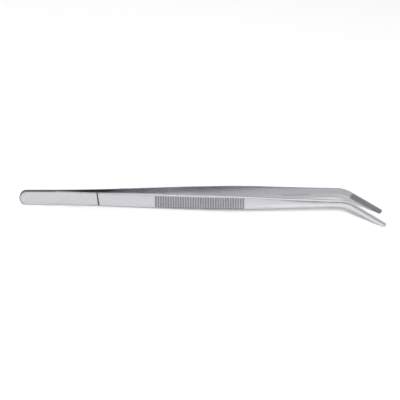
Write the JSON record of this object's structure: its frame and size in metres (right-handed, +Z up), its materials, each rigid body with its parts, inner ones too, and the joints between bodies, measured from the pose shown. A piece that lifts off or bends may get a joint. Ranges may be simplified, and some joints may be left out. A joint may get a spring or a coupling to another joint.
{
  "type": "crucible tongs",
  "caption": "Long one-piece spring tongs of tweezer form with ribbed grips and bent, toothed jaws, for lifting small hot crucibles and lab parts.",
  "frame": {"origin": "on the bench, under the middle of the tongs as they stand on both jaw tips and the butt's lower edge", "axes": "+X from the butt to the jaws, Y is the closing direction with the front leaf at -Y, +Z up"},
  "size_m": [0.2978, 0.0286, 0.0217],
  "materials": {
    "leaf": "satin brushed along the length",
    "filler": "ground weld edge, duller than the leaves"
  },
  "bodies": {
    "butt": {"butt_filler": "filler", "front_leaf_butt": "leaf", "rear_leaf_butt": "leaf", "front_leaf_spring": "leaf", "rear_leaf_spring": "leaf"},
    "front_arm": {"front_leaf_grip": "leaf", "front_leaf_shank": "leaf", "front_leaf_jaw": "leaf"},
    "rear_arm": {"rear_leaf_grip": "leaf", "rear_leaf_shank": "leaf", "rear_leaf_jaw": "leaf"}
  },
  "joints": [
    {"name": "front_leaf_flex", "type": "hinge", "parent": "butt", "child": "front_arm", "pos_m": [-0.10181, -0.0024, 0.00807], "axis": [-0.051, 0, 0.9987], "range_deg": [0, 2.82], "stiffness_Nm_per_rad": 16.6, "deforming": ["front_leaf_spring"]},
    {"name": "rear_leaf_flex", "type": "hinge", "parent": "butt", "child": "rear_arm", "pos_m": [-0.10181, 0.0024, 0.00807], "axis": [-0.051, 0, 0.9987], "range_deg": [-2.82, 0], "stiffness_Nm_per_rad": 16.6, "deforming": ["rear_leaf_spring"]}
  ],
  "couplings": [
    {"joint": "rear_leaf_flex", "follows": "front_leaf_flex", "ratio": -1}
  ]
}
